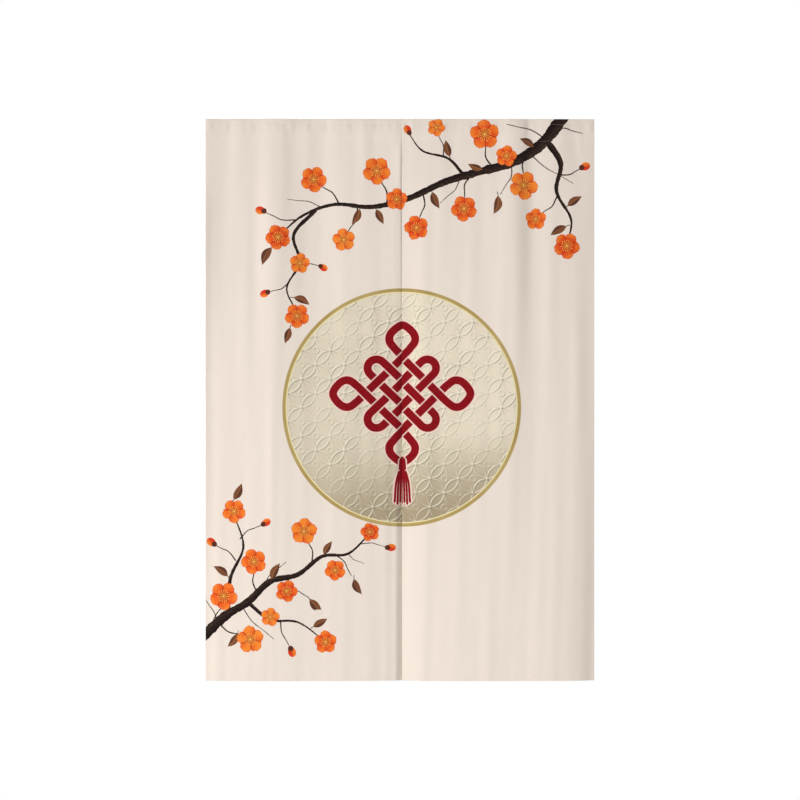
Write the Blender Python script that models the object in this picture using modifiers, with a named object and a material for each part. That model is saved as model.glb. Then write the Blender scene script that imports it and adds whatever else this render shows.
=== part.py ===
"""Door curtain: two printed cloth panels that hang side by side from rod pockets, parted down the middle.

The origin is the middle of the top edge. +X runs to the right, +Y to the back and +Z up, in metres.
Each panel is a sheet with its hem turned up behind it, and a heading along its top. The heading is a strip
that goes up the front, folds over the top edge and comes down the back, where it stands off the front layer
to leave the pocket for a rod. A panel and its heading have the same folds, so the cloth runs on from one to
the other.
"""

import math
from collections import namedtuple

import bmesh
import bpy

MM = 0.001

# Driving sizes
WIDTH = 0.900  # both panels together
DROP = 1.300  # top edge to hem
CLOTH = 0.0012  # thickness of one layer
GAP = 0.0003  # between solids that meet

# Heading, as distances below the top edge
HEADER = 0.0125  # the double strip that stands above the pocket
POCKET_SEAM = 0.0510  # the seam that closes the pocket
SEAM_LAP = 0.0050  # how far the back layer runs on below that seam
LAYER_SPACING = 0.0020  # from the middle of one layer to the middle of the next, where two lie together
TURN_RADIUS = LAYER_SPACING / 2.0  # of an edge that is folded over
POCKET_STANDOFF = 0.0210  # the same where the pocket is fullest
POCKET_FULLEST = 0.32  # of the way from its top to its foot, where the rod lies
FRONT_BULGE = 0.0010  # how far the pocket's front layer comes forward

HEM = 0.0120  # turned up behind

# The panels' inner edges. The left one slips behind the right one below the heading.
OVERLAP = 0.0030
OVERLAP_STARTS = 0.120  # below the top edge
OVERLAP_FULL = 0.500
OVERLAP_FADES = 0.090  # from the inner edge, across the panel

# Fineness of the mesh
COLUMN_STEP = 0.0160
HEADER_ROWS = 2
POCKET_ROWS = 8
FRONT_ROWS = 4
TURN_ROWS = 4
PANEL_ROWS = 19
PANEL_ROW_SPREAD = 1.35  # above 1, the rows are closer together near the heading
HEM_ROWS = 2

# Each row is a crest, a valley or an edge. across is its place from the parting, and the other columns say
# how far forward the cloth stands there at four distances below the top edge, all in millimetres.
Fold = namedtuple("Fold", "across heading upper middle hem")
LEVELS = {"heading": 0.055, "upper": 0.240, "middle": 0.660, "hem": DROP}
EDGE = WIDTH / 2 / MM  # the outer edge's place

LEFT_FOLDS = [
    Fold(across=-EDGE, heading=0.6, upper=0.2, middle=-3.0, hem=-2.5),
    Fold(across=-411, heading=-1.0, upper=-2.2, middle=-0.2, hem=2.0),
    Fold(across=-345, heading=0.0, upper=-0.6, middle=5.4, hem=7.5),
    Fold(across=-288, heading=2.2, upper=4.8, middle=8.8, hem=9.0),
    Fold(across=-192, heading=-2.2, upper=-2.6, middle=5.8, hem=6.8),
    Fold(across=-136, heading=0.6, upper=1.2, middle=6.4, hem=5.8),
    Fold(across=-80, heading=0.0, upper=1.4, middle=4.6, hem=3.6),
    Fold(across=-40, heading=0.2, upper=0.4, middle=1.8, hem=0.6),
    Fold(across=-16, heading=0.0, upper=-0.6, middle=0.0, hem=-1.6),
    Fold(across=0, heading=-0.8, upper=-3.6, middle=-4.6, hem=-6.4),
]

RIGHT_FOLDS = [
    Fold(across=0, heading=-0.8, upper=-1.2, middle=-1.8, hem=-2.4),
    Fold(across=66, heading=0.8, upper=3.4, middle=4.6, hem=5.0),
    Fold(across=126, heading=-0.2, upper=4.2, middle=6.0, hem=7.3),
    Fold(across=190, heading=0.4, upper=3.6, middle=6.8, hem=7.8),
    Fold(across=256, heading=1.6, upper=6.2, middle=6.4, hem=6.2),
    Fold(across=312, heading=-2.8, upper=-0.8, middle=2.4, hem=6.0),
    Fold(across=348, heading=-0.8, upper=0.2, middle=1.8, hem=6.4),
    Fold(across=398, heading=-2.4, upper=-1.2, middle=0.4, hem=2.8),
    Fold(across=EDGE, heading=-4.4, upper=-4.8, middle=-5.2, hem=-5.4),
]

CLOTH_COLOUR = (0.82, 0.74, 0.67, 1.0)
CLOTH_ROUGHNESS = 0.85


def ease(share):
    """Goes from 0 to 1 with no slope at either end, as cloth does from a valley to a crest."""
    share = min(1.0, max(0.0, share))
    return (1.0 - math.cos(math.pi * share)) / 2.0


def mix(start, end, share):
    return start + (end - start) * share


def stands_forward(fold, below):
    """How far forward one crest or valley stands, at a distance below the top edge."""
    names = list(LEVELS)
    if below <= LEVELS[names[0]]:
        return getattr(fold, names[0]) * MM
    for upper, lower in zip(names, names[1:]):
        if below <= LEVELS[lower]:
            share = (below - LEVELS[upper]) / (LEVELS[lower] - LEVELS[upper])
            return mix(getattr(fold, upper), getattr(fold, lower), ease(share)) * MM
    return getattr(fold, names[-1]) * MM


def fold_depth(folds, across, below):
    """How far forward the cloth stands at any place on a panel."""
    for left, right in zip(folds, folds[1:]):
        if across <= right.across * MM:
            break
    share = (across - left.across * MM) / ((right.across - left.across) * MM)
    return mix(stands_forward(left, below), stands_forward(right, below), ease(share))


def columns(folds):
    """Places across a panel, with every crest, valley and edge on one of them."""
    places = [folds[0].across * MM]
    for left, right in zip(folds, folds[1:]):
        span = (right.across - left.across) * MM
        steps = max(3, round(span / COLUMN_STEP))
        places += [left.across * MM + span * step / steps for step in range(1, steps + 1)]
    return places


def overlap_at(across, below):
    """How far the left panel has slipped to the right, behind the other one."""
    down = ease((below - OVERLAP_STARTS) / (OVERLAP_FULL - OVERLAP_STARTS))
    return OVERLAP * down * ease(1.0 + across / OVERLAP_FADES)


def hang(folds, across, below, behind):
    """Where a point of the cloth hangs: behind is its distance behind the front layer."""
    x = across
    if folds is LEFT_FOLDS:
        x = min(x, -GAP / 2.0) + overlap_at(across, below)
    else:
        x = max(x, GAP / 2.0)
    return x, behind - fold_depth(folds, across, below), -below


def pocket_fullness(share):
    """How full the pocket is, from 0 at its two seams to 1 where the rod lies, nearer the top one."""
    return math.sin(math.pi * share ** (math.log(0.5) / math.log(POCKET_FULLEST)))


def turned_edge(starts, down):
    """The half circle in which cloth turns over, as (below, behind): down is 1 at a hem and -1 at a top."""
    rows = []
    for step in range(TURN_ROWS + 1):
        angle = math.pi * step / TURN_ROWS
        below = starts + down * TURN_RADIUS * math.sin(angle)
        rows.append((below, TURN_RADIUS * (1.0 - math.cos(angle))))
    return rows


def heading_section():
    """The heading's rows as (below, behind), from the front layer's foot round to the back layer's."""
    highest = TURN_RADIUS + CLOTH / 2.0
    rows = []
    for step in range(FRONT_ROWS):
        share = step / FRONT_ROWS
        rows.append((mix(POCKET_SEAM, HEADER, share), -FRONT_BULGE * math.sin(math.pi * share)))
    rows += [(mix(HEADER, highest, step / HEADER_ROWS), 0.0) for step in range(HEADER_ROWS)]
    rows += turned_edge(highest, -1)
    rows += [(mix(highest, HEADER, step / HEADER_ROWS), LAYER_SPACING) for step in range(1, HEADER_ROWS)]
    for step in range(POCKET_ROWS + 1):
        share = ease(step / POCKET_ROWS)
        bulge = (POCKET_STANDOFF - LAYER_SPACING) * pocket_fullness(share)
        rows.append((mix(HEADER, POCKET_SEAM, share), LAYER_SPACING + bulge))
    rows.append((POCKET_SEAM + SEAM_LAP, LAYER_SPACING))
    return rows


def panel_section():
    """The panel's rows as (below, behind), from its top edge down the front and round the hem."""
    top = POCKET_SEAM + GAP
    lowest = DROP - TURN_RADIUS - CLOTH / 2.0
    shares = [(step / PANEL_ROWS) ** PANEL_ROW_SPREAD for step in range(PANEL_ROWS)]
    rows = [(mix(top, lowest - HEM, share), 0.0) for share in shares]
    rows += [(mix(lowest - HEM, lowest, step / HEM_ROWS), 0.0) for step in range(HEM_ROWS)]
    rows += turned_edge(lowest, 1)
    rows += [(mix(lowest, lowest - HEM, step / HEM_ROWS), LAYER_SPACING) for step in range(1, HEM_ROWS + 1)]
    return rows


def cloth_material(name):
    material = bpy.data.materials.new(f"{name}_cloth")
    material.use_nodes = True
    shader = material.node_tree.nodes["Principled BSDF"]
    shader.inputs["Base Color"].default_value = CLOTH_COLOUR
    shader.inputs["Roughness"].default_value = CLOTH_ROUGHNESS
    shader.inputs["Metallic"].default_value = 0.0
    material.diffuse_color = CLOTH_COLOUR
    return material


def hung_cloth(name, folds, section, collection):
    """One piece of cloth: a grid with a column for each place across and a row for each of the section's."""
    places = columns(folds)
    bm = bmesh.new()
    bmesh.ops.create_grid(bm, x_segments=len(places) - 1, y_segments=len(section) - 1, size=0.5)
    for vertex in bm.verts:
        column = round((vertex.co.x + 0.5) * (len(places) - 1))
        row = round((vertex.co.y + 0.5) * (len(section) - 1))
        below, behind = section[row]
        vertex.co = hang(folds, places[column], below, behind)
    mesh = bpy.data.meshes.new(name)
    bm.to_mesh(mesh)
    bm.free()
    mesh.materials.append(cloth_material(name))
    mesh.shade_smooth()

    cloth = bpy.data.objects.new(name, mesh)
    collection.objects.link(cloth)
    thickness = cloth.modifiers.new("Cloth thickness", "SOLIDIFY")
    thickness.thickness = CLOTH
    thickness.offset = 0.0
    thickness.use_even_offset = True
    return cloth


def build():
    for obj in list(bpy.data.objects):
        bpy.data.objects.remove(obj)
    collection = bpy.data.collections.new("Door curtain")
    bpy.context.scene.collection.children.link(collection)
    for side, folds in (("left", LEFT_FOLDS), ("right", RIGHT_FOLDS)):
        hung_cloth(f"panel_{side}", folds, panel_section(), collection)
        hung_cloth(f"heading_{side}", folds, heading_section(), collection)


build()
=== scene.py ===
import math
from collections import namedtuple

import bmesh
import bpy
import numpy as np
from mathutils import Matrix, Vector


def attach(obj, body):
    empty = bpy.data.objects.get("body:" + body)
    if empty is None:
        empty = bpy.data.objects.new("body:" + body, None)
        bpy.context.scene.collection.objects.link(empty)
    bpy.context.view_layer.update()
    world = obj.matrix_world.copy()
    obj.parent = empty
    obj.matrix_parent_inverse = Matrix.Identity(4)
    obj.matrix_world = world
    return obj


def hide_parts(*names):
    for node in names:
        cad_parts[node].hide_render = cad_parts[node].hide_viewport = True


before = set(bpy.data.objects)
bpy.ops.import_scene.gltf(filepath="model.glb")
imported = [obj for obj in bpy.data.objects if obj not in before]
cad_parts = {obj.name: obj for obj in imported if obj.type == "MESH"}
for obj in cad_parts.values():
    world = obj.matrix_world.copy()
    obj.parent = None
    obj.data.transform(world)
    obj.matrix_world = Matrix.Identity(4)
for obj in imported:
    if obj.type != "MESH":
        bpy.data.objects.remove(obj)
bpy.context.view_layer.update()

mm = 0.001

# The cloth of both sides, in metres. Distances below the top edge are called below.
cloth = {
    "width": 0.900,
    "drop": 1.300,
    "thickness": 0.00055,
    "header": 0.0125,
    "pocketSeam": 0.0510,
    "seamLap": 0.0050,
    "layerSpacing": 0.0020,
    "pocketStandoff": 0.0210,
    "pocketFullest": 0.32,
    "frontBulge": 0.0010,
    "hem": 0.0120,
    "sideHem": 0.0090,
    "sideHemSpacing": 0.0006,
    "partingAt": 0.0046,
    "partingGap": 0.0003,
    "pitch": 0.0042,
    "edgeColumns": (0, 0.0006, 0.0018, 0.0036),
}
# How many rows of points each part of its section gets
rowCounts = {"pocket": 17, "strip": 5, "turn": 7, "bulge": 12, "hem": 5}
# A side hem's turn as (reach past the edge, lift behind the front layer), in side hem spacings
hemTurn = ((0.3, 0.18), (0.42, 0.5), (0.3, 0.82), (-0.3, 1.0))
edgeRoom = cloth["thickness"] / 2 + max(reach for reach, _ in hemTurn) * cloth["sideHemSpacing"]

# How the left side's inner edge slips behind the right side's.
overlap = {"most": 0.0030, "starts": 0.120, "full": 0.500, "fades": 0.090}

# Crests, valleys and edges. across is the place from the middle, and the other columns say how far forward
# the cloth stands there at four distances below the top edge, all in millimetres.
Fold = namedtuple("Fold", "across heading upper middle hem")
levels = np.array([0.055, 0.240, 0.660, cloth["drop"]])
outerEdge = cloth["width"] / 2 / mm

leftFolds = [
    Fold(across=-outerEdge, heading=0.6, upper=0.2, middle=-3.0, hem=-2.5),
    Fold(across=-411, heading=-1.0, upper=-2.2, middle=-0.2, hem=2.0),
    Fold(across=-345, heading=0.0, upper=-0.6, middle=5.4, hem=7.5),
    Fold(across=-288, heading=2.2, upper=4.8, middle=8.8, hem=9.0),
    Fold(across=-192, heading=-2.2, upper=-2.6, middle=5.8, hem=6.8),
    Fold(across=-136, heading=0.6, upper=1.2, middle=6.4, hem=5.8),
    Fold(across=-80, heading=0.0, upper=1.4, middle=4.6, hem=3.6),
    Fold(across=-40, heading=0.2, upper=0.4, middle=1.8, hem=0.6),
    Fold(across=-16, heading=0.0, upper=-0.6, middle=0.0, hem=-1.6),
    Fold(across=0, heading=-0.8, upper=-3.6, middle=-4.6, hem=-6.4),
]
rightFolds = [
    Fold(across=0, heading=-0.8, upper=-1.2, middle=-1.8, hem=-2.4),
    Fold(across=66, heading=0.8, upper=3.4, middle=4.6, hem=5.0),
    Fold(across=126, heading=-0.2, upper=4.2, middle=6.0, hem=7.3),
    Fold(across=190, heading=0.4, upper=3.6, middle=6.8, hem=7.8),
    Fold(across=256, heading=1.6, upper=6.2, middle=6.4, hem=6.2),
    Fold(across=312, heading=-2.8, upper=-0.8, middle=2.4, hem=6.0),
    Fold(across=348, heading=-0.8, upper=0.2, middle=1.8, hem=6.4),
    Fold(across=398, heading=-2.4, upper=-1.2, middle=0.4, hem=2.8),
    Fold(across=outerEdge, heading=-4.4, upper=-4.8, middle=-5.2, hem=-5.4),
]

# Soft creases laid over the folds, in millimetres: where each runs from and to, how far it drifts sideways
# on the way down, its half width, and its height, which is below 0 for a trough.
Crease = namedtuple("Crease", "across top foot drift width height")
creases = {
    "left": [Crease(*row) for row in (
        (-454, 110, 1250, 0, 13, 2.2),
        (-364, 0, 110, 0, 16, 0.5),
        (-286, -10, 220, -4, 16, 0.35),
        (-250, -10, 380, -4, 17, -0.9),
        (-213, -10, 300, -4, 14, 1.4),
        (-262, 4, 110, 5, 7, -0.4),
        (-82, 0, 180, 3, 16, 0.7),
        (-396, 430, 2600, 0, 16, 0.6),
        (-360, 430, 2600, 0, 14, -0.5),
        (-298, 560, 2100, 8, 8, 0.6),
        (-1, 10, 840, 0, 8, 2.6),
        (-8, 300, 2900, 0, 6, 1.0),
        (6.5, -40, 2900, 0, 3.2, -3.0),
        (6, 260, 2900, 0, 5, -1.8),
    )],
    "right": [Crease(*row) for row in (
        (-4, 90, 2900, 0, 18, -0.9),
        (222, -10, 190, -3, 14, -0.9),
        (275, -10, 150, 0, 14, 0.35),
        (286, -20, 190, -2, 5, 0.2),
        (295, -20, 190, 2, 5, -0.4),
        (301, -10, 140, 3, 9, -0.3),
        (288, 90, 900, 0, 18, 0.1),
        (319, 110, 760, 4, 20, -0.2),
        (377, -10, 190, 0, 12, 0.6),
        (400, -10, 180, 8, 10, -0.6),
        (411, 2, 120, 14, 6, 0.4),
        (386, 540, 2600, 0, 13, 0.5),
        (409, 540, 2600, 0, 12, -0.5),
        (453, 480, 2600, 0, 13, -0.4),
        (456, -60, 2600, 0, 14, -1.3),
    )],
}

# How fast a crease comes in from its top and goes at its foot
creaseEnds = (8, 1.6)

# Small ripples that each seam gathers, in metres: each seam's place and their height, then each wave's length
# and start, and how far a seam's place shifts the waves
ripple = {
    "seams": ((0.0165, 0.00020), (0.0510, 0.00004), (1.2880, 0.00008)),
    "reach": 0.011,
    "waves": ((0.0313, 0.1), (0.0187, 0.6), (0.0571, 0.35)),
    "shift": 9,
}
# Slight unevenness all over: height, wave across, wave down and start
waviness = ((0.00024, 0.093, 1.9, 0.2), (0.00018, 0.058, -1.3, 0.7), (0.00012, 0.037, 0.9, 0.4))


def ease(share):
    return (1 - np.cos(np.pi * np.clip(share, 0, 1))) / 2


def mix(start, end, share):
    return start + (end - start) * share


def foldDepth(folds, across, below):
    # how far forward the folds stand at each point
    places = np.array([fold.across for fold in folds]) * mm
    heights = np.array([fold[1:] for fold in folds]) * mm
    column = np.clip(np.searchsorted(places, across, side="right") - 1, 0, len(places) - 2)
    row = np.clip(np.searchsorted(levels, below, side="right") - 1, 0, len(levels) - 2)
    down = ease((below - levels[row]) / (levels[row + 1] - levels[row]))
    left = mix(heights[column, row], heights[column, row + 1], down)
    right = mix(heights[column + 1, row], heights[column + 1, row + 1], down)
    return mix(left, right, ease((across - places[column]) / (places[column + 1] - places[column])))


def creaseDepth(side, across, below):
    depth = np.zeros_like(across)
    for crease in creases[side]:
        top, foot = crease.top * mm, crease.foot * mm
        share = np.clip((below - top) / (foot - top), 0, 1)
        middle = (crease.across + crease.drift * share) * mm
        fade = ease(share * creaseEnds[0]) * ease((1 - share) * creaseEnds[1])
        depth += crease.height * mm * fade * np.exp(-(((across - middle) / (crease.width * mm)) ** 2))
    return depth


def rippleDepth(across, below):
    depth = np.zeros_like(across)
    for seam, height in ripple["seams"]:
        near = np.exp(-(((below - seam) / ripple["reach"]) ** 2))
        for length, start in ripple["waves"]:
            turns = across / length + start + seam * ripple["shift"]
            depth += height * near * np.sin(2 * np.pi * turns)
    for height, wave, run, start in waviness:
        depth += height * np.sin(2 * np.pi * (across / wave + below / run + start))
    return depth


def hang(side, across, below, behind):
    # where points of the cloth hang: behind is the distance behind the front layer
    folds = leftFolds if side == "left" else rightFolds
    depth = foldDepth(folds, across, below) + creaseDepth(side, across, below) + rippleDepth(across, below)
    x = across
    if side == "left":
        down = ease((below - overlap["starts"]) / (overlap["full"] - overlap["starts"]))
        x = across + overlap["most"] * down * ease(1 + across / overlap["fades"])
    return np.stack([x, behind - depth, -below], axis=-1)


def sectionRows():
    # the cloth's section as (below, behind), from the back layer's foot over the top edge to the turned hem
    radius, spacing = cloth["layerSpacing"] / 2, cloth["layerSpacing"]
    header, seam = cloth["header"], cloth["pocketSeam"]
    highest = radius + cloth["thickness"] / 2
    lowest = cloth["drop"] - radius - cloth["thickness"] / 2
    rows = [(seam + cloth["seamLap"], spacing), (seam + cloth["seamLap"] / 2, spacing)]
    for share in ease(np.linspace(1, 0, rowCounts["pocket"])):
        fullness = math.sin(math.pi * share ** (math.log(0.5) / math.log(cloth["pocketFullest"])))
        rows.append((mix(header, seam, share), spacing + (cloth["pocketStandoff"] - spacing) * fullness))
    rows += [(below, spacing) for below in np.linspace(header, highest, rowCounts["strip"])[1:-1]]
    for angle in np.linspace(math.pi, 0, rowCounts["turn"]):
        rows.append((highest - radius * math.sin(angle), radius * (1 - math.cos(angle))))
    rows += [(below, 0.0) for below in np.linspace(highest, header, rowCounts["strip"])[1:]]
    for share in np.linspace(0, 1, rowCounts["bulge"])[1:]:
        rows.append((mix(header, seam, share), -cloth["frontBulge"] * math.sin(math.pi * share)))
    hemTop = lowest - cloth["hem"]
    rows += [(below, 0.0) for below in np.linspace(seam, hemTop, round((hemTop - seam) / cloth["pitch"]))[1:]]
    rows += [(below, 0.0) for below in np.linspace(hemTop, lowest, rowCounts["hem"])[1:-1]]
    for angle in np.linspace(0, math.pi, rowCounts["turn"]):
        rows.append((lowest + radius * math.sin(angle), radius * (1 - math.cos(angle))))
    rows += [(below, spacing) for below in np.linspace(lowest, hemTop, rowCounts["hem"])[1:]]
    return np.array(rows)


def sectionFacts(rows):
    # for each row: its distance along the cloth below the top edge, and which way its wrong side faces
    steps = np.diff(rows, axis=0)
    run = np.concatenate([[0], np.cumsum(np.hypot(steps[:, 0], steps[:, 1]))])
    top = np.argmin(rows[:, 0])
    run -= run[top]
    along = np.gradient(rows, axis=0)
    along /= np.linalg.norm(along, axis=1)[:, None]
    return run, np.stack([-along[:, 1], along[:, 0]], axis=1)


def sideEnds(side):
    # where one side's cloth starts and ends across, at the fold of its side hems
    outer = cloth["width"] / 2 - edgeRoom
    if side == "left":
        return -outer, cloth["partingAt"] - cloth["partingGap"] / 2 - edgeRoom
    return cloth["partingAt"] + cloth["partingGap"] / 2 + edgeRoom, outer


def extrudeSideHem(bm, brim, outward):
    # turns over the cloth's edge and lies on the wrong side
    across, flat, lift = (bm.verts.layers.float[name] for name in ("across", "flatAcross", "lift"))
    hem, gap = cloth["sideHem"], cloth["sideHemSpacing"]
    turn = [(reach * gap, height) for reach, height in hemTurn]
    turn += [(-hem * share, 1.0) for share in (0.35, 0.7, 1.0)]
    border = [e for e in bm.edges if e.is_boundary and all(abs(v[flat] - brim) < 1e-6 for v in e.verts)]
    walked, last = 0.0, (0.0, 0.0)
    for reach, height in turn:
        walked += math.hypot(reach - last[0], (height - last[1]) * gap)
        last = (reach, height)
        made = bmesh.ops.extrude_edge_only(bm, edges=border)["geom"]
        newVerts = {item for item in made if isinstance(item, bmesh.types.BMVert)}
        newEdges = [item for item in made if isinstance(item, bmesh.types.BMEdge)]
        border = [e for e in newEdges if e.is_boundary and newVerts.issuperset(e.verts)]
        for vert in newVerts:
            vert[across] = brim + outward * reach
            vert[flat] = brim + outward * walked
            vert[lift] = height * gap


def sheetMesh(side):
    # a flat grid, with its side hems extruded, hung row by row
    rows = sectionRows()
    run, inward = sectionFacts(rows)
    start, end = sideEnds(side)
    # narrow columns along each edge keep its turn sharp
    narrow = np.array(cloth["edgeColumns"])
    inner = np.linspace(start + narrow[-1], end - narrow[-1], round((end - start) / cloth["pitch"]))[1:-1]
    columns = np.concatenate([start + narrow, inner, end - narrow[::-1]])
    bm = bmesh.new()
    across = bm.verts.layers.float.new("across")
    flat = bm.verts.layers.float.new("flatAcross")
    bm.verts.layers.float.new("lift")
    rowOf = bm.verts.layers.int.new("row")
    bmesh.ops.create_grid(bm, x_segments=len(columns) - 1, y_segments=len(rows) - 1, size=0.5)
    for vert in bm.verts:
        column = round((vert.co.x + 0.5) * (len(columns) - 1))
        vert[rowOf] = round((vert.co.y + 0.5) * (len(rows) - 1))
        vert[across] = vert[flat] = columns[column]
    for brim, outward in ((columns[0], -1), (columns[-1], 1)):
        extrudeSideHem(bm, brim, outward)
    bmesh.ops.recalc_face_normals(bm, faces=bm.faces)
    mesh = bpy.data.meshes.new(f"{side}_cloth")
    bm.to_mesh(mesh)
    bm.free()

    count = len(mesh.vertices)
    read = {name: np.empty(count, np.float32) for name in ("across", "flatAcross", "lift")}
    for name, values in read.items():
        mesh.attributes[name].data.foreach_get("value", values)
    row = np.empty(count, np.int32)
    mesh.attributes["row"].data.foreach_get("value", row)
    below = rows[row, 0] + inward[row, 0] * read["lift"]
    behind = rows[row, 1] + inward[row, 1] * read["lift"]
    places = hang(side, read["across"].astype(float), below, behind)
    mesh.vertices.foreach_set("co", places.ravel())
    flatPoints = np.stack([read["flatAcross"], run[row]], axis=1)
    for name in ("across", "flatAcross", "lift", "row"):
        mesh.attributes.remove(mesh.attributes[name])
    mesh.update()
    # a face in front, well inside the cloth, tells which way the normals point
    facing = min(mesh.polygons, key=lambda face: abs(face.center.z + 0.7) + abs(abs(face.center.x) - 0.2))
    if facing.normal.y > 0:
        mesh.flip_normals()
    return mesh, flatPoints


def linked(name, mesh):
    piece = bpy.data.objects.new(name, mesh)
    bpy.context.scene.collection.objects.link(piece)
    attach(piece, "root")
    return piece


# Sewing, in metres. A row has its place below the top edge and its start in pitches. The ends say how far
# from the cloth's edges the rows, and the columns along the side hems, start and stop.
thread = {
    "pitch": 0.0033,
    "length": 0.0022,
    "width": 0.00026,
    "height": 0.00024,
    "rows": ((0.0125, 0.3), (0.0510, 0.6), (1.2895, 0.1)),
    "rowEnds": (0.0012, 0.0035),
    "sideInset": 0.0078,
    "sideEnds": (0.060, 0.014),
    "proud": 0.12,
}


def stitchTemplate():
    bm = bmesh.new()
    bmesh.ops.create_uvsphere(bm, u_segments=6, v_segments=5, radius=0.5)
    bmesh.ops.scale(bm, vec=(thread["width"], thread["height"], thread["length"]), verts=bm.verts)
    bm.verts.ensure_lookup_table()
    bmesh.ops.triangulate(bm, faces=bm.faces)
    corners = np.array([vert.co[:] for vert in bm.verts])
    faces = np.array([[vert.index for vert in face.verts] for face in bm.faces])
    bm.free()
    return corners, faces


def stitchLines(side):
    # rows of stitches as (across, below, behind, which way out, which way along)
    start, end = sideEnds(side)
    out = cloth["thickness"] / 2 + thread["height"] * thread["proud"]
    lines = []
    first, last = thread["rowEnds"]
    for below, shift in thread["rows"]:
        across = np.arange(start + first + shift * thread["pitch"], end - last, thread["pitch"])
        for behind, sign in ((0.0, -1), (cloth["layerSpacing"], 1)):
            lines.append((across, np.full_like(across, below), behind, sign, (thread["length"], 0.0)))
    # the side hems are caught from behind, so nothing shows of that in front
    below = np.arange(thread["sideEnds"][0], cloth["drop"] - thread["sideEnds"][1], thread["pitch"])
    upright = (0.0, thread["length"])
    for across in (start + thread["sideInset"], end - thread["sideInset"]):
        lines.append((np.full_like(below, across), below, cloth["sideHemSpacing"], 1, upright))
    return [(*line[:2], line[2] + line[3] * out, *line[3:]) for line in lines]


def stitchEnds(side):
    heads, tails, outwards = [], [], []
    for across, below, behind, sign, (toSide, down) in stitchLines(side):
        heads.append(hang(side, across, below, behind))
        tails.append(hang(side, across + toSide, below + down, behind))
        outwards.append(np.tile([0.0, float(sign), 0.0], (len(across), 1)))
    return np.concatenate(heads), np.concatenate(tails), np.concatenate(outwards)


def threadMesh(side):
    corners, faces = stitchTemplate()
    heads, tails, outwards = stitchEnds(side)
    along = tails - heads
    along /= np.linalg.norm(along, axis=1)[:, None]
    sideways = np.cross(outwards, along)
    sideways /= np.linalg.norm(sideways, axis=1)[:, None]
    outwards = np.cross(along, sideways)
    middle = (heads + tails) / 2
    places = middle[:, None]
    for column, direction in enumerate((sideways, outwards, along)):
        places = places + corners[None, :, column, None] * direction[:, None]
    tiled = faces[None] + (np.arange(len(middle)) * len(corners))[:, None, None]
    mesh = bpy.data.meshes.new(f"{side}_thread")
    mesh.from_pydata(places.reshape(-1, 3), [], tiled.reshape(-1, 3).tolist())
    mesh.update()
    mesh.shade_smooth()
    return mesh


# The print, in millimetres: x from the middle, and y down the cloth from its top edge.
Bough = namedtuple("Bough", "starts ends points")
boughs = [
    Bough(starts=15, ends=1.6, points=[
        (384, -14), (330, 56), (262, 100), (186, 122), (104, 146), (20, 184), (-66, 204), (-150, 198),
        (-222, 222), (-278, 268)]),
    Bough(starts=8, ends=1.3, points=[(338, 48), (372, 104), (362, 168), (396, 232), (388, 286)]),
    Bough(starts=5, ends=1.2, points=[(-196, 212), (-246, 268), (-232, 332), (-262, 392), (-238, 448)]),
    Bough(starts=4.5, ends=1.0, points=[(150, 134), (112, 92), (52, 74), (18, 30)]),
    Bough(starts=13, ends=1.4, points=[
        (-462, 1204), (-404, 1150), (-352, 1118), (-300, 1070), (-236, 1054), (-180, 1012), (-120, 1006),
        (-72, 962)]),
    Bough(starts=6, ends=1.2, points=[(-398, 1146), (-392, 1062), (-362, 990), (-384, 916)]),
    Bough(starts=5, ends=1.1, points=[(-352, 1118), (-300, 1158), (-236, 1164), (-176, 1206)]),
]
Twig = namedtuple("Twig", "x y toX toY bend width")
twigs = [Twig(*row) for row in (
    (296, 80, 286, 146, 9, 2.2), (216, 114, 196, 44, -10, 2.2), (170, 126, 148, 200, 12, 2.0),
    (52, 168, 40, 244, -10, 2.0), (-30, 198, -52, 128, 8, 2.2), (-98, 204, -128, 272, -9, 1.8),
    (-140, 199, -196, 146, 9, 1.9), (-242, 234, -318, 214, -8, 1.6), (370, 130, 424, 112, 6, 1.7),
    (364, 178, 318, 226, -8, 1.8), (258, 102, 232, 176, -10, 1.5), (100, 86, 84, 28, 7, 1.5),
    (-236, 316, -182, 342, 7, 1.5), (-258, 380, -308, 402, -6, 1.4), (-420, 1166, -352, 1198, 9, 2.0),
    (-330, 1096, -336, 1030, -8, 1.9), (-262, 1060, -214, 1106, 8, 1.8), (-204, 1028, -222, 960, 9, 1.8),
    (-150, 1008, -112, 1058, -7, 1.6), (-380, 1022, -432, 984, 7, 1.6), (-370, 972, -316, 938, -7, 1.5),
    (-276, 1160, -252, 1226, 7, 1.6), (-92, 984, -28, 992, -6, 1.2), (336, 46, 244, 12, 8, 1.6),
    (350, 28, 424, 34, -9, 1.7), (300, 80, 402, 150, 6, 1.3), (140, 136, 92, 196, -8, 1.2),
    (-180, 206, -262, 186, 7, 1.2), (-440, 1182, -378, 1096, -9, 1.6), (-424, 1168, -452, 1110, 6, 1.4),
    (-366, 1126, -290, 1204, 8, 1.3), (-316, 1082, -262, 1024, -7, 1.3), (-120, 1006, -80, 1030, 5, 1.0),
)]
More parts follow.
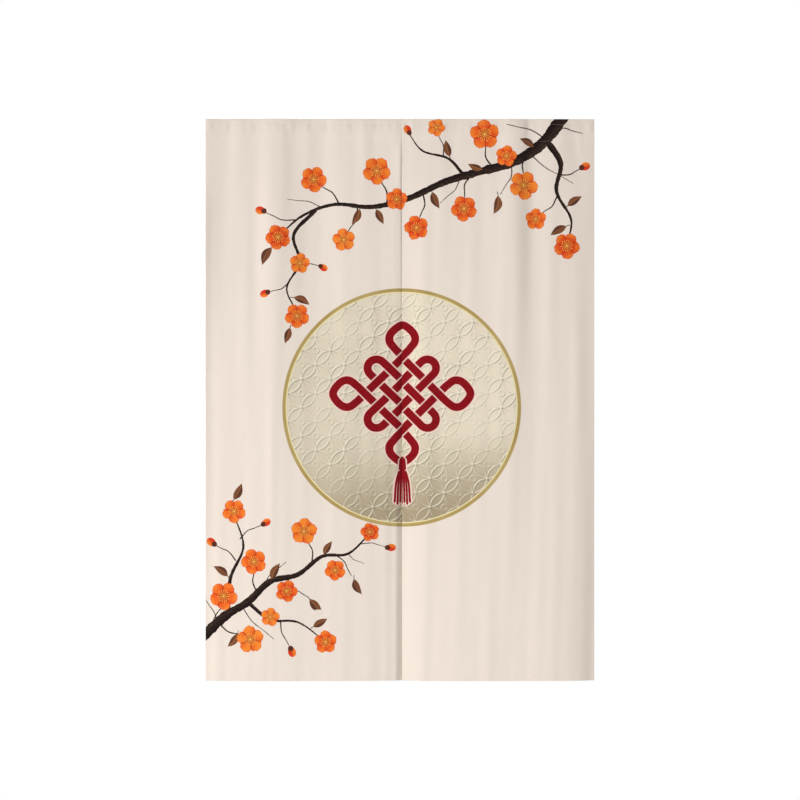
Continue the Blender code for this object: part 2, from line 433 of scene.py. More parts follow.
# size is an open flower's radius, and open is 0 for a bud
Flower = namedtuple("Flower", "x y size turn open")
flowers = [Flower(*row) for row in (
    (286, 154, 34, 10, 1), (196, 36, 35, 50, 1), (148, 208, 31, 25, 1), (84, 20, 21, 5, 1),
    (246, 86, 25, 65, 1), (38, 252, 29, 38, 1), (-54, 120, 33, 16, 1), (-8, 186, 26, 58, 1),
    (-130, 280, 27, 44, 1), (-200, 140, 31, 8, 1), (-282, 274, 30, 30, 1), (-232, 334, 24, 62, 1),
    (-238, 456, 29, 20, 1), (386, 294, 31, 12, 1), (314, 232, 25, 54, 1), (18, 26, 13, 240, 0),
    (-322, 212, 14, 190, 0), (428, 110, 14, -20, 0), (-178, 344, 12, 28, 0), (-312, 404, 13, 156, 0),
    (-408, 1104, 33, 14, 1), (-346, 1204, 32, 48, 1), (-338, 1024, 30, 33, 1), (-262, 1092, 26, 4, 1),
    (-222, 954, 31, 60, 1), (-150, 1044, 25, 22, 1), (-70, 956, 22, 40, 1), (-384, 908, 28, 18, 1),
    (-172, 1210, 27, 52, 1), (-300, 1152, 22, 66, 1), (-24, 992, 13, 0, 0), (-436, 980, 14, 214, 0),
    (-310, 934, 13, -32, 0), (-250, 1232, 14, 70, 0),
)]
# x and y are where its stalk starts, length is half the blade's, and turn is the way it points, in degrees
Leaf = namedtuple("Leaf", "x y length turn")
leaves = [Leaf(*row) for row in (
    (232, 172, 22, 104), (116, 94, 20, -104), (70, 164, 21, 66), (-88, 204, 20, 118),
    (-58, 204, 19, 64), (-296, 290, 23, 118), (382, 204, 20, -34), (390, 244, 21, 150),
    (-250, 408, 20, 26), (-252, 478, 19, 108), (-392, 1060, 20, -146), (-302, 1070, 21, -62),
    (-214, 1106, 22, 48), (-112, 1060, 20, 62), (-180, 1012, 18, -58), (-386, 888, 21, -64),
    (-370, 1188, 19, 128), (-206, 1178, 19, -30), (316, 66, 19, -150), (196, 120, 18, -160),
)]
medallion = {"x": 4.0, "y": 668.0, "radius": 272.0, "ring": 3.9, "coin": 33.0}
# A square knot stood on its corner: spacing is from strand to strand, and reach is half a strand's length
knot = {"x": 4.0, "y": 636.0, "spacing": 40.0, "halfWidth": 9.0, "reach": 84.0, "loop": 30.0, "tassel": 96.0}


# A face this near a stroke has its place from it stored, in metres, and a face near none a width far below 0.
strokeReach = 0.006
noStroke = -0.05
# What a face that no motif covers has for its place
noMotif = 9.0


def spin(degrees):
    angle = math.radians(degrees)
    return np.array([[math.cos(angle), -math.sin(angle)], [math.sin(angle), math.cos(angle)]])


def smoothPath(points, starts, ends):
    # a curve through the points, with its half width at each step
    points = np.array(points, float)
    padded = np.vstack([2 * points[0] - points[1], points, 2 * points[-1] - points[-2]])
    path = []
    for a, b, c, d in zip(padded, padded[1:], padded[2:], padded[3:]):
        for t in np.linspace(0, 1, 7)[:-1]:
            square, cube = (2 * a - 5 * b + 4 * c - d) * t**2, (3 * b - a - 3 * c + d) * t**3
            path.append(0.5 * (2 * b + (c - a) * t + square + cube))
    path = np.array(path + [points[-1]])
    share = np.linspace(0, 1, len(path))
    return path * mm, mix(starts, ends, share**0.8) * mm


def boughStrokes():
    strokes = [smoothPath(bough.points, bough.starts, bough.ends) for bough in boughs]
    for twig in twigs:
        start, end = np.array([twig.x, twig.y]), np.array([twig.toX, twig.toY])
        side = np.array([start[1] - end[1], end[0] - start[0]]) / np.linalg.norm(end - start)
        knee = mix(start, end, 0.38) + side * twig.bend
        bend = mix(start, end, 0.66) + side * twig.bend * 0.5
        strokes.append(smoothPath([start, knee, bend, end], twig.width, twig.width * 0.5))
    return strokes


def arc(middle, radius, start, end):
    angles = np.radians(np.linspace(start, end, 25))
    return np.array(middle) + radius * np.stack([np.cos(angles), np.sin(angles)], axis=1)


def knotStrokes():
    # level strands first, then upright ones, then what joins them at the corners, and the tassel
    s, reach, half = knot["spacing"], knot["reach"], knot["halfWidth"]
    turns = (arc((reach, 0), s / 2, -90, 90), arc((-reach, 0), s / 2, 90, 270), [(reach, -s / 2)])
    level = [np.concatenate(turns)]
    for q in (-1.5 * s, 1.5 * s):
        level.append(np.array([(-reach - 2, q), (0, q), (reach + 2, q)]))
    upright = [path[:, ::-1] for path in level]
    # from the end of a level strand round a loop to the end of an upright one
    r, out = knot["loop"], 1.5 * s
    firstHalf = [(reach, out), (reach + 0.8 * r, out + 0.15 * r), (reach + 1.15 * r, out + 0.75 * r)]
    loop = np.array([*firstHalf, (reach + 0.95 * r, reach + 0.95 * r), *[(y, x) for x, y in firstHalf[::-1]]])
    corners = [loop @ spin(90 * quarter).T for quarter in range(4)]
    centre = np.array([knot["x"], knot["y"]])
    strokes = []
    for kind, paths in ((0, level), (1, upright), (2, corners)):
        for path in paths:
            placed = path @ spin(45).T + centre
            if kind == 2:
                path, widths = smoothPath(placed, half, half)
            else:
                path, widths = placed * mm, np.full(len(placed), half * mm)
            strokes.append((kind, path, widths))
    foot = knot["y"] + math.sqrt(2) * (reach + knot["loop"]) - 6
    long = knot["tassel"]
    for number in range(7):
        lean = (number - 3) * 6.4
        ends = [(knot["x"] + lean * 0.25, foot + 12), (knot["x"] + lean * 0.8, foot + long * 0.5),
                (knot["x"] + lean, foot + long + (number % 2) * 5)]
        path, widths = smoothPath(ends, 2.4, 2.6)
        strokes.append((3, path, widths))
    path, widths = smoothPath([(knot["x"], foot + down) for down in (-4, 10, 20)], 8.5, 10.5)
    strokes.append((4, path, widths))
    return strokes


def strokeAt(points, path, widths):
    # signed offset from the stroke's line, its half width there, and the distance along it
    start, step = path[:-1], np.diff(path, axis=0)
    size = np.linalg.norm(step, axis=1)
    raw = ((points[:, None] - start) * step).sum(axis=2) / size**2
    share = np.clip(raw, 0, 1)
    away = points[:, None] - (start + share[..., None] * step)
    nearest = np.argmin((away**2).sum(axis=2), axis=1)
    pick = np.arange(len(points))
    share, raw, away, step = share[pick, nearest], raw[pick, nearest], away[pick, nearest], step[nearest]
    distance = np.linalg.norm(away, axis=1)
    cross = step[:, 0] * away[:, 1] - step[:, 1] * away[:, 0]
    past = np.where((nearest == len(size) - 1) & (raw > 1), (raw - 1) * size[-1], 0)
    past = np.where((nearest == 0) & (raw < 0), -raw * size[0], past)
    offset = np.where(past > 0, cross / size[nearest], np.sign(cross) * distance)
    along = np.concatenate([[0], np.cumsum(size)])[nearest] + share * size[nearest]
    return offset, mix(widths[nearest], widths[nearest + 1], share) - past, along, distance


def strokeLayers(corners, strokes, count, rank=None):
    # the strokes nearest each face, kept one to a layer
    middles = corners.mean(axis=1)
    found = []
    for number, (path, widths) in enumerate(strokes):
        room = widths.max() + strokeReach
        inside = (middles > path.min(axis=0) - room) & (middles < path.max(axis=0) + room)
        near = np.flatnonzero(inside.all(axis=1))
        if len(near):
            _, half, _, distance = strokeAt(middles[near], path, widths)
            margin = distance - np.maximum(half, 0)
            keep = margin < strokeReach
            found += [(face, gap, number) for face, gap in zip(near[keep].tolist(), margin[keep].tolist())]
    layers = np.zeros((count, *corners.shape[:2], 3), np.float32)
    layers[..., 1] = noStroke
    joins = np.zeros(len(corners))
    byFace = {}
    for face, gap, number in found:
        byFace.setdefault(face, []).append((gap, number))
    chosen = {}
    for face, near in byFace.items():
        near.sort()
        near = near[:count]
        if rank:
            near, joins[face] = rank(middles[face], near)
        for layer, (_, number) in enumerate(near):
            chosen.setdefault((layer, number), []).append(face)
    for (layer, number), faces in chosen.items():
        points = corners[faces].reshape(-1, 2)
        offset, half, along, _ = strokeAt(points, *strokes[number])
        last = np.repeat(joins[faces], corners.shape[1]) if rank else along
        layers[layer, faces] = np.stack([offset, half, last], axis=1).reshape(len(faces), -1, 3)
    return layers


def motifLayers(corners, motifs, count, reach):
    # each motif's own coordinates, in units of its size, on the faces that it covers
    middles = corners.mean(axis=1)
    layers = np.full((count, *corners.shape[:2], 3), noMotif, np.float32)
    used = np.zeros((count, len(corners)), bool)
    for number, (x, y, size, turn, kind) in enumerate(motifs):
        away = np.linalg.norm(middles - np.array([x, y]) * mm, axis=1)
        faces = np.flatnonzero(away < size * reach * mm + 0.004)
        if not len(faces):
            continue
        layer = next((n for n in range(count) if not used[n, faces].any()), count - 1)
        used[layer, faces] = True
        local = (corners[faces] - np.array([x, y]) * mm) / (size * mm)
        angle = math.radians(turn)
        u = local[..., 0] * math.cos(angle) + local[..., 1] * math.sin(angle)
        v = local[..., 1] * math.cos(angle) - local[..., 0] * math.sin(angle)
        seed = np.full_like(u, kind + 0.05 + 0.9 * ((number * 0.381966) % 1))
        layers[layer, faces] = np.stack([u, v, seed], axis=-1)
    return layers


def crossing(place, near):
    # which strand lies under and which over, by turns, and whether they only join there
    if len(near) < 2:
        return [near[0], near[0]], 1
    strands = {knotKinds[number]: (gap, number) for gap, number in near}
    if 0 in strands and 1 in strands:
        p, q = spin(-45) @ (place / mm - np.array([knot["x"], knot["y"]])) / knot["spacing"]
        parity = (round(p - 0.5) + round(q - 0.5)) % 2
        return [strands[parity], strands[1 - parity]], 0
    return sorted(near, key=lambda pair: knotKinds[pair[1]]), 0 if 4 in strands else 1


def addPrint(mesh, flatPoints):
    # what the printing ink follows is stored at each face's corners
    index = np.empty(len(mesh.loops), np.int32)
    mesh.loops.foreach_get("vertex_index", index)
    corners = flatPoints[index].reshape(-1, 4, 2)
    layers = {"flat": np.concatenate([corners, np.zeros((*corners.shape[:2], 1))], axis=2)}
    for number, layer in enumerate(strokeLayers(corners, boughStrokes(), 3)):
        layers[f"bough{number}"] = layer
    knotPaths = [(path, widths) for _, path, widths in knotStrokes()]
    for number, layer in enumerate(strokeLayers(corners, knotPaths, 2, crossing)):
        layers[f"knot{number}"] = layer
    opened = [(f.x, f.y, f.size, f.turn, 0 if f.open else 1) for f in flowers]
    for number, layer in enumerate(motifLayers(corners, opened, 2, 1.12)):
        layers[f"flower{number}"] = layer
    blades = []
    for leaf in leaves:
        toX, toY = math.cos(math.radians(leaf.turn)), math.sin(math.radians(leaf.turn))
        away = leaf.length * 1.32
        blades.append((leaf.x + toX * away, leaf.y + toY * away, leaf.length, leaf.turn, 0))
    for number, layer in enumerate(motifLayers(corners, blades, 1, 1.4)):
        layers[f"leaf{number}"] = layer
    for name, values in layers.items():
        attribute = mesh.attributes.new(name, "FLOAT_VECTOR", "CORNER")
        attribute.data.foreach_set("vector", values.astype(np.float32).ravel())


knotKinds = [kind for kind, _, _ in knotStrokes()]


# Shader maths: a socket that takes part in Python expressions.
class Value:
    def __init__(self, tree, socket):
        self.tree = tree
        self.socket = socket

    def maths(self, operation, *others):
        return node(self.tree, "ShaderNodeMath", {"operation": operation}, [self, *others])

    def __add__(self, other):
        return self.maths("ADD", other)

    def __mul__(self, other):
        return self.maths("MULTIPLY", other)

    def __sub__(self, other):
        return self.maths("SUBTRACT", other)

    def __rsub__(self, other):
        return node(self.tree, "ShaderNodeMath", {"operation": "SUBTRACT"}, [other, self])

    def __truediv__(self, other):
        return self.maths("DIVIDE", other)

    def __rtruediv__(self, other):
        return node(self.tree, "ShaderNodeMath", {"operation": "DIVIDE"}, [other, self])

    def __neg__(self):
        return self * -1

    __radd__ = __add__
    __rmul__ = __mul__


def node(tree, kind, settings=None, inputs=None, output=0):
    # one node with its settings, then the values or links of its sockets by place or name
    made = tree.nodes.new(kind)
    for name, value in (settings or {}).items():
        setattr(made, name, value)
    named = inputs.items() if isinstance(inputs, dict) else enumerate(inputs or [])
    for place, value in named:
        if isinstance(value, Value):
            tree.links.new(value.socket, made.inputs[place])
        elif value is not None:
            made.inputs[place].default_value = value
    return Value(tree, made.outputs[output])


def above(value, limit, soft):
    # 0 below limit, 1 above it, over a soft edge
    return node(
        value.tree,
        "ShaderNodeMapRange",
        {"interpolation_type": "SMOOTHSTEP"},
        {"Value": value, "From Min": limit - soft, "From Max": limit + soft},
    )


def blend(share, under, over, kind="MIX"):
    # colours as (r, g, b) or sockets
    colours = [value if isinstance(value, Value) else (*value, 1) for value in (under, over)]
    return node(
        share.tree,
        "ShaderNodeMix",
        {"data_type": "RGBA", "blend_type": kind},
        {0: share, 6: colours[0], 7: colours[1]},
        output=2,
    )


def newMaterial(name):
    material = bpy.data.materials.new(name)
    material.use_nodes = True
    tree = material.node_tree
    return material, tree, tree.nodes["Principled BSDF"]


clothFinish = {
    "colour": (0.842, 0.741, 0.656),
    "colourDeep": (0.807, 0.705, 0.618),
    "roughness": 0.88,
    "sheen": 0.04,
    "sheenRoughness": 0.5,
    "specular": 0.1,
    # the width of two yarns, how high one stands, and how much its slubs are drawn out, with their scale
    "weave": 0.0006,
    "weaveDepth": 0.00003,
    "weft": (0.16, 1500),
    "warp": (0.12, 1300),
    "slub": 0.05,
    "mottle": 0.05,
    # how dark the painted shade on the doubled strip at the top is
    "headerShade": 0.035,
    # each seam's place, how dark the painted shade along its line is, and how deep it draws the cloth in
    "seams": ((0.0125, 0.03, 0.00018), (0.0510, 0.0, 0.00005), (1.2895, 0.0, 0.00005)),
    "shadow": (0.55, 0.53, 0.50),
    "ghost": 0.3,
}
threadFinish = {
    "colour": (0.80, 0.71, 0.62),
    # deep is the painted shade in the grooves of the twist
    "deep": (0.68, 0.59, 0.51),
    "roughness": 0.7,
    "twist": 0.0007,
    "twistDepth": 0.00004,
    "sheen": 0.1,
}


def srgb(red, green, blue):
    # a colour from 0 to 255 on screen, as the shaders take it
    parts = [value / 255 for value in (red, green, blue)]
    return tuple(part / 12.92 if part <= 0.04045 else ((part + 0.055) / 1.055) ** 2.4 for part in parts)


ink = {
    "bark": srgb(27, 15, 13),
    "barkLight": srgb(88, 66, 54),
    "petal": srgb(237, 98, 30),
    "petalDeep": srgb(214, 52, 20),
    "petalLight": srgb(248, 150, 54),
    "heart": srgb(170, 26, 16),
    "stamen": srgb(253, 206, 92),
    "bud": srgb(216, 56, 28),
    "calyx": srgb(84, 44, 30),
    "leaf": srgb(122, 72, 44),
    "leafDeep": srgb(84, 44, 32),
    "leafVein": srgb(176, 122, 82),
    "knot": srgb(134, 4, 18),
    "halo": srgb(240, 206, 194),
    "gold": srgb(172, 146, 84),
    "goldPale": srgb(234, 220, 170),
    "groundTop": srgb(222, 210, 188),
    "groundLight": srgb(238, 226, 204),
    "groundFoot": srgb(164, 147, 118),
    "emboss": srgb(146, 140, 118),
    "embossLight": srgb(248, 240, 220),
}


def parts(value):
    made = node(value.tree, "ShaderNodeSeparateXYZ", {}, [value]).socket.node
    return [Value(value.tree, socket) for socket in made.outputs]


def attributeParts(tree, name):
    return parts(node(tree, "ShaderNodeAttribute", {"attribute_name": name}, output=1))


def vector(x, y):
    return node(x.tree, "ShaderNodeCombineXYZ", {}, [x, y, 0.0])


def noise(place, scale, detail=2.0):
    sockets = {"Vector": place, "Scale": scale, "Detail": detail, "Roughness": 0.55}
    return node(place.tree, "ShaderNodeTexNoise", {"noise_dimensions": "2D"}, sockets)


def hypot(x, y):
    return (x * x + y * y).maths("SQRT")


def upTo(value, limit, soft):
    # 1 up to limit, 0 beyond it
    return 1 - above(value, limit, soft)


def both(first, second):
    return first.maths("MAXIMUM", second)


def foldedAngle(angle, turns):
    # the angle from the middle of the nearest of so many equal sectors
    sector = 2 * math.pi / turns
    return angle - (angle * (1 / sector)).maths("ROUND") * sector


def paintMedallion(tree, flatX, flatY, colour, wobble, cloud):
    x = flatX * 1000 - medallion["x"]
    y = flatY * 1000 - medallion["y"]
    out = hypot(x, y)
    radius, half = medallion["radius"], medallion["ring"]
    ground = blend(above(x * 0.6 - y * 0.35, 20, 190) * 0.9, ink["groundTop"], ink["groundLight"])
    ground = blend(above(y + x * 0.12, 165, 130), ground, ink["groundFoot"])
    ground = blend(above(cloud, 0.5, 0.35) * 0.18, ground, ink["groundFoot"])
    # overlapping coins, pressed in: dark on the side away from the light and pale on the other
    size = medallion["coin"]
    dark, pale = None, None
    for start in (0.0, 0.5):
        cellX = ((x / (2 * size) + start).maths("FRACT") - 0.5) * (2 * size)
        cellY = ((y / (2 * size) + start).maths("FRACT") - 0.5) * (2 * size)
        ring = hypot(cellX, cellY)
        for wanted, width in ((size * 0.985, 2.0), (size * 0.2, 1.5)):
            step = (ring - wanted + (wobble - 0.5) * 1.6) / width
            press = step * (step * step * -1).maths("EXPONENT") * 2.33
            lit = press * ((cellX + cellY) * -0.7071) / (ring + 1)
            dark = -lit if dark is None else dark - lit
            pale = lit if pale is None else pale + lit
    fade = 0.35 + above(cloud, 0.48, 0.2) * 0.65
    ground = blend(dark.maths("MAXIMUM", 0) * fade * 0.9, ground, ink["emboss"])
    ground = blend(pale.maths("MAXIMUM", 0) * fade * 0.8, ground, ink["embossLight"])
    painted = blend(upTo(out, radius, 0.3), colour, ground)
    ringColour = blend(above(cloud, 0.5, 0.3) * 0.5, ink["gold"], ink["goldPale"])
    shine = (out - radius + half + 1.2).maths("ABSOLUTE")
    painted = blend(upTo(shine, 1.5, 0.4), painted, ink["goldPale"])
    gold = blend(0.7 * wobble, ink["gold"], ringColour)
    return blend(upTo((out - radius).maths("ABSOLUTE"), half, 0.3), painted, gold)


def paintKnot(tree, colour, wobble):
    done = None
    for name in ("knot0", "knot1"):
        offset, half, joined = attributeParts(tree, name)
        edge = (half - offset.maths("ABSOLUTE")) * 1000 + (wobble - 0.5) * 0.5
        body, halo = above(edge, 0, 0.3), above(edge, -3.0, 0.6)
        if done is not None:
            halo = halo * (1 - joined * done)
        colour = blend(halo * 0.85, colour, ink["halo"])
        colour = blend(body, colour, ink["knot"])
        done = body
    return colour


def paintBoughs(tree, colour, wobble):
    for name in ("bough2", "bough1", "bough0"):
        offset, half, along = attributeParts(tree, name)
        gnarl = noise(vector(along, half * 4), 62, 2.0)
        edge = (half * (0.72 + gnarl * 0.56) - offset.maths("ABSOLUTE")) * 1000 + (wobble - 0.5) * 1.5
        streak = noise(vector(offset * 700, along * 60), 1.0, 3.0)
        lit = above(streak, 0.54, 0.14) * above(offset * -1 / (half + 0.0006), 0.0, 0.6) * 0.6
        bark = blend(lit, ink["bark"], ink["barkLight"])
        colour = blend(above(edge, 0, 0.3), colour, bark)
    return colour


def paintLeaves(tree, colour, wobble):
    u, v, seed = attributeParts(tree, "leaf0")
    share = seed.maths("FRACT")
    bent = v + (share - 0.5) * 0.5 * (u * u - 0.3)
    wide = (1 - u * u).maths("MAXIMUM", 0) * (0.42 - u * 0.13)
    edge = wide - bent.maths("ABSOLUTE") + (wobble - 0.5) * 0.05
    rib = upTo(bent.maths("ABSOLUTE"), 0.022, 0.014)
    veins = ((u - bent.maths("ABSOLUTE") * 0.9) * 30).maths("SINE")
    blade = blend(above(bent * 1.2 + (share - 0.5) * 0.4, 0.0, 0.2), ink["leaf"], ink["leafDeep"])
    blade = blend(above(veins, 0.86, 0.12) * 0.35, blade, ink["leafVein"])
    blade = blend(rib * 0.8, blade, ink["leafVein"])
    blade = blend(upTo(edge, 0.05, 0.05) * 0.4, blade, ink["leafDeep"])
    stalk = upTo(bent.maths("ABSOLUTE"), 0.045, 0.012) * upTo((u + 1.12).maths("ABSOLUTE"), 0.26, 0.02)
    colour = blend(stalk, colour, ink["bark"])
    return blend(above(edge, 0, 0.02), colour, blade)


def paintFlowers(tree, colour, wobble, grain):
    for name in ("flower0", "flower1"):
        u, v, seed = attributeParts(tree, name)
        share = seed.maths("FRACT")
        out = hypot(u, v)
        angle = v.maths("ARCTAN2", u)
        lobe = foldedAngle(angle, 5)
        alongPetal, acrossPetal = out * lobe.maths("COSINE"), out * lobe.maths("SINE")
        ragged = (wobble - 0.5) * 0.05 + (grain - 0.5) * 0.16
        petalEdge = 0.43 - hypot(alongPetal - 0.55, acrossPetal * 0.94) + ragged
        petalEdge = both(petalEdge, 0.34 - out)
        tint = blend(above(share, 0.72, 0.1) * 0.7, ink["petal"], ink["petalDeep"])
        tint = blend(upTo(share, 0.3, 0.1) * 0.6, tint, ink["petalLight"])
        petal = blend(above(out + (grain - 0.5) * 0.9, 0.72, 0.35) * 0.7, tint, ink["petalLight"])
        petal = blend(above(lobe + (grain - 0.5) * 0.8, 0.22, 0.3) * 0.5, petal, ink["petalDeep"])
        ribs = (lobe * 34).maths("SINE")
        petal = blend(above(ribs, 0.6, 0.4) * upTo(out, 0.75, 0.25) * 0.3, petal, ink["petalDeep"])
        between = (math.pi / 5 - lobe.maths("ABSOLUTE")) * out
        petal = blend(upTo(between, 0.035, 0.03) * 0.8, petal, ink["heart"])
        petal = blend(upTo(petalEdge, 0.05, 0.045) * 0.55, petal, ink["petalDeep"])
        petal = blend(upTo(out + (grain - 0.5) * 0.3, 0.3, 0.26) * 0.85, petal, ink["heart"])
        ray = foldedAngle(angle + 0.12, 15)
        spoke = upTo((out * ray.maths("SINE")).maths("ABSOLUTE"), 0.012, 0.01)
        spoke = spoke * upTo((out - 0.25).maths("ABSOLUTE"), 0.15, 0.02)
        tip = 0.4 + (angle * 7).maths("SINE") * 0.04
        dot = upTo(hypot(out * ray.maths("COSINE") - tip, out * ray.maths("SINE")), 0.032, 0.014)
        petal = blend(both(spoke * 0.8, dot), petal, ink["stamen"])
        petal = blend(upTo(out, 0.07, 0.03), petal, ink["stamen"])
        # a bud is an egg in its cup
        bud = above(0.82 - hypot(u - 0.1, v * 1.25), 0, 0.03)
        cup = above(0.5 - hypot((u + 0.55) * 1.1, v * 1.1), 0, 0.03)
        budColour = blend(above(v * -1 + u * 0.3, 0.2, 0.5) * 0.7, ink["bud"], ink["petalLight"])
        crack = upTo((v - u * 0.15 - 0.12).maths("ABSOLUTE"), 0.03, 0.03)
        budColour = blend(crack * 0.6, budColour, ink["heart"])
        budColour = blend(cup, budColour, ink["calyx"])
        isBud = above(seed, 1, 0.001) * upTo(seed, noMotif - 1, 0.5)
        isOpen = upTo(seed, 1, 0.001)
        colour = blend(above(petalEdge, 0, 0.018) * isOpen, colour, petal)
        colour = blend(both(bud, cup) * isBud, colour, budColour)
    return colour


def clothMaterial(name, side, show):
    # show is how strongly the print comes through on that face of the cloth
    material, tree, shader = newMaterial(name)
    flatX, flatY, _ = attributeParts(tree, "flat")
    place = vector(flatX, flatY)
    wobble = noise(place, 420, 2.0)
    grain = noise(place, 160, 3.0)
    cloud = noise(place, 9, 2.0)
    weft = noise(vector(flatX * clothFinish["weft"][0], flatY), clothFinish["weft"][1], 1.0)
    warp = noise(vector(flatX, flatY * clothFinish["warp"][0]), clothFinish["warp"][1], 1.0)
    slub = (weft + warp - 1) * clothFinish["slub"] + (cloud - 0.5) * clothFinish["mottle"]
    plain = blend(0.5 + slub * 10, clothFinish["colourDeep"], clothFinish["colour"])
    colour = paintMedallion(tree, flatX, flatY, plain, wobble, cloud)
    colour = paintKnot(tree, colour, wobble)
    colour = paintBoughs(tree, colour, wobble)
    colour = paintLeaves(tree, colour, wobble)
    colour = paintFlowers(tree, colour, wobble, grain)
    # ink sinks in unevenly along the yarns
    colour = blend(above(weft + warp, 1.3, 0.25) * 0.06, colour, plain)
    start, end = sideEnds(side)
    # what is turned under has no print
    turned = above((flatX - (start + end) / 2).maths("ABSOLUTE"), (end - start) / 2 + 0.0009, 0.0002)
    turned = both(turned, both(upTo(flatY, -0.0018, 0.0003), above(flatY, cloth["drop"] + 0.0022, 0.0003)))
    colour = blend(turned, colour, plain)
    if show < 1:
        colour = blend(show + (grain - 0.5) * 0.08, plain, colour)
    # painted shade: the doubled strip at the top is darkened as if it let less light through, each seam's
    # line is darkened as a shaded groove, and each seam draws the cloth in
    shade = upTo(flatY.maths("ABSOLUTE"), cloth["header"], 0.0004) * clothFinish["headerShade"]
    drawn = 0.0
    for seam, dark, deep in clothFinish["seams"]:
        line = (flatY - seam) * 1000
        groove = (line * line * -0.35).maths("EXPONENT")
        shade = shade + groove * dark
        drawn = groove * deep + drawn
    colour = blend(shade.maths("MINIMUM", 0.4), colour, clothFinish["shadow"], "MULTIPLY")
    tree.links.new(colour.socket, shader.inputs["Base Color"])
    # plain weave, drawn as two sets of yarns that cross
    turns = 2 * math.pi / clothFinish["weave"]
    warpYarn, weftYarn = (flatX * turns).maths("SINE"), (flatY * turns).maths("SINE")
    weave = warpYarn * weftYarn * 0.5 + (warpYarn + weftYarn) * 0.12
    height = (weave + (weft + warp) * 1.2) * clothFinish["weaveDepth"] - drawn
    bump = node(tree, "ShaderNodeBump", {}, {"Strength": 1.0, "Distance": 1.0, "Height": height})
    tree.links.new(bump.socket, shader.inputs["Normal"])
    rough = clothFinish["roughness"] + (weave * 0.02) + (grain - 0.5) * 0.04
    tree.links.new(rough.socket, shader.inputs["Roughness"])
    shader.inputs["Sheen Weight"].default_value = clothFinish["sheen"]
    shader.inputs["Sheen Roughness"].default_value = clothFinish["sheenRoughness"]
    shader.inputs["Specular IOR Level"].default_value = clothFinish["specular"]
    return material


def threadMaterial(name):
    material, tree, shader = newMaterial(name)
    place = node(tree, "ShaderNodeTexCoord", output=3)
    x, _, z = parts(place)
    twist = ((x + z) * (2 * math.pi / threadFinish["twist"])).maths("SINE")
    fuzz = node(tree, "ShaderNodeTexNoise", {}, {"Vector": place, "Scale": 900.0, "Detail": 1.0})
    # painted shade: the thread is darker in the twist's grooves, where the bump sinks, with random fuzz mixed
    # in
    tone = above(twist + fuzz - 0.5, 0.0, 0.9)
    colour = blend(tone, threadFinish["deep"], threadFinish["colour"])
    tree.links.new(colour.socket, shader.inputs["Base Color"])
    height = twist * threadFinish["twistDepth"]
    bump = node(tree, "ShaderNodeBump", {}, {"Strength": 0.6, "Distance": 1.0, "Height": height})
    tree.links.new(bump.socket, shader.inputs["Normal"])
    shader.inputs["Roughness"].default_value = threadFinish["roughness"]
    shader.inputs["Sheen Weight"].default_value = threadFinish["sheen"]
    return material


def makeSide(side):
    mesh, flatPoints = sheetMesh(side)
    piece = linked(f"{side}_cloth", mesh)
    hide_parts(f"heading_{side}", f"panel_{side}")
    addPrint(mesh, flatPoints)
    mesh.materials.append(clothMaterial(f"{side}Front", side, 1.0))
    mesh.materials.append(clothMaterial(f"{side}Back", side, clothFinish["ghost"]))
    mesh.shade_smooth()
    thick = piece.modifiers.new("Cloth thickness", "SOLIDIFY")
    thick.thickness = cloth["thickness"]
    thick.offset = 0.0
    thick.use_even_offset = True
    thick.material_offset = 1
    sewing = linked(f"{side}_thread", threadMesh(side))
    sewing.data.materials.append(threadMaterial(f"{side}Thread"))
    print(f"{side}: {len(mesh.polygons)} faces and {len(sewing.data.polygons)} in its sewing")


for sideName in ("left", "right"):
    makeSide(sideName)

# Camera, floor and light
stage = {
    "seenWidth": 1.8515,
    "lens": 100.0,
    "sensor": 36.0,
    "centre": (0.0, -0.6503),
    "floorBelow": 2.2,
    "floorSize": 5.8,
    "floorColour": (0.90, 0.90, 0.90),
    "floorRoughness": 0.8,
    "worldFront": 0.165,
    "worldBack": 0.30,
    # place, what it is aimed at, size and power of each soft lamp
    "lamps": {
        "key": ((-12.6, -9.8, 0.1), (0.0, 0.0, -0.65), 5.6, 2410.0),
        "frontFill": ((0.3, -2.2, -0.9), (0.1, 0.0, -0.75), 1.1, 9.0),
        "behind": ((-2.4, 4.0, 0.5), (0.0, 0.0, -0.65), 1.6, 150.0),
    },
}


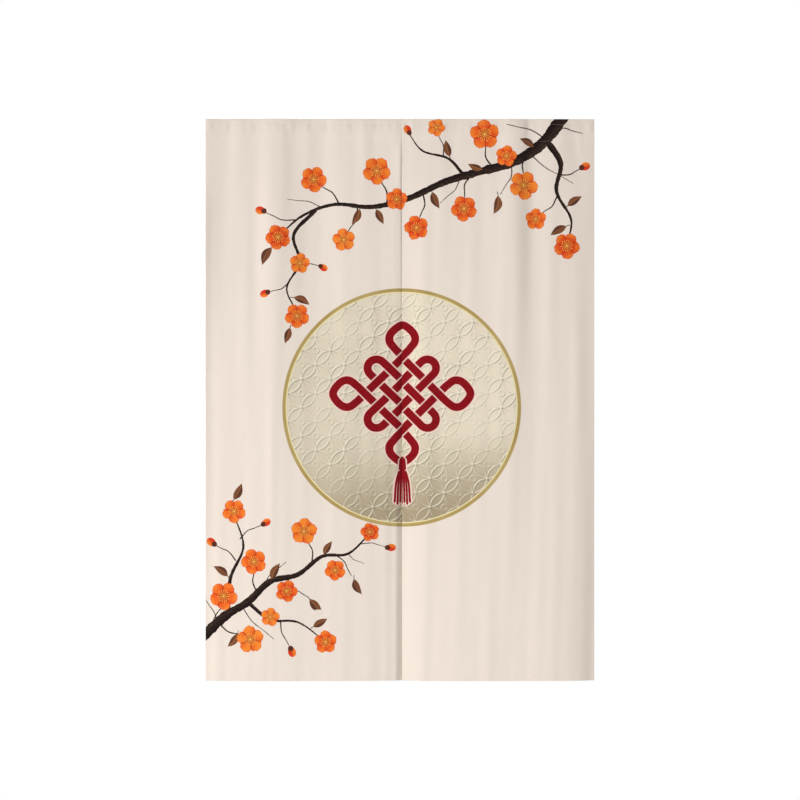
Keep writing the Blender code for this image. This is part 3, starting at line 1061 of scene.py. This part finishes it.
def makeCamera():
    camera = bpy.data.objects.new("camera", bpy.data.cameras.new("camera"))
    camera.data.lens = stage["lens"]
    camera.data.sensor_width = stage["sensor"]
    away = stage["seenWidth"] * stage["lens"] / stage["sensor"]
    camera.location = (stage["centre"][0], -away, stage["centre"][1])
    camera.rotation_euler = (math.pi / 2, 0, 0)
    bpy.context.scene.collection.objects.link(camera)
    bpy.context.scene.camera = camera


def makeFloor():
    bm = bmesh.new()
    bmesh.ops.create_grid(bm, x_segments=1, y_segments=1, size=stage["floorSize"] / 2)
    bmesh.ops.translate(bm, vec=(0, 0, -stage["floorBelow"]), verts=bm.verts)
    mesh = bpy.data.meshes.new("floor")
    bm.to_mesh(mesh)
    bm.free()
    material, _, shader = newMaterial("floorPaint")
    shader.inputs["Base Color"].default_value = (*stage["floorColour"], 1)
    shader.inputs["Roughness"].default_value = stage["floorRoughness"]
    mesh.materials.append(material)
    floor = bpy.data.objects.new("floor", mesh)
    bpy.context.scene.collection.objects.link(floor)


def makeLights():
    world = bpy.data.worlds.new("studio")
    bpy.context.scene.world = world
    world.use_nodes = True
    tree = world.node_tree
    background = tree.nodes["Background"]
    _, toward, _ = parts(node(tree, "ShaderNodeTexCoord", output=0))
    strength = stage["worldFront"] + (stage["worldBack"] - stage["worldFront"]) * above(toward, 0.0, 0.35)
    # the studio's white wall is brighter to look at than the light that it gives
    seen = node(tree, "ShaderNodeLightPath", output=0)
    strength = strength * (1 - seen) + seen
    tree.links.new(strength.socket, background.inputs["Strength"])
    background.inputs["Color"].default_value = (1, 1, 1, 1)
    for name, (place, target, size, power) in stage["lamps"].items():
        lamp = bpy.data.objects.new(name, bpy.data.lights.new(name, "AREA"))
        lamp.data.shape = "DISK"
        lamp.data.size = size
        lamp.data.energy = power
        lamp.location = place
        lamp.rotation_euler = (Vector(target) - Vector(place)).to_track_quat("-Z", "Y").to_euler()
        bpy.context.scene.collection.objects.link(lamp)


makeCamera()
makeFloor()
makeLights()
bpy.context.scene.view_settings.view_transform = "Standard"
print("camera, floor and light are set")
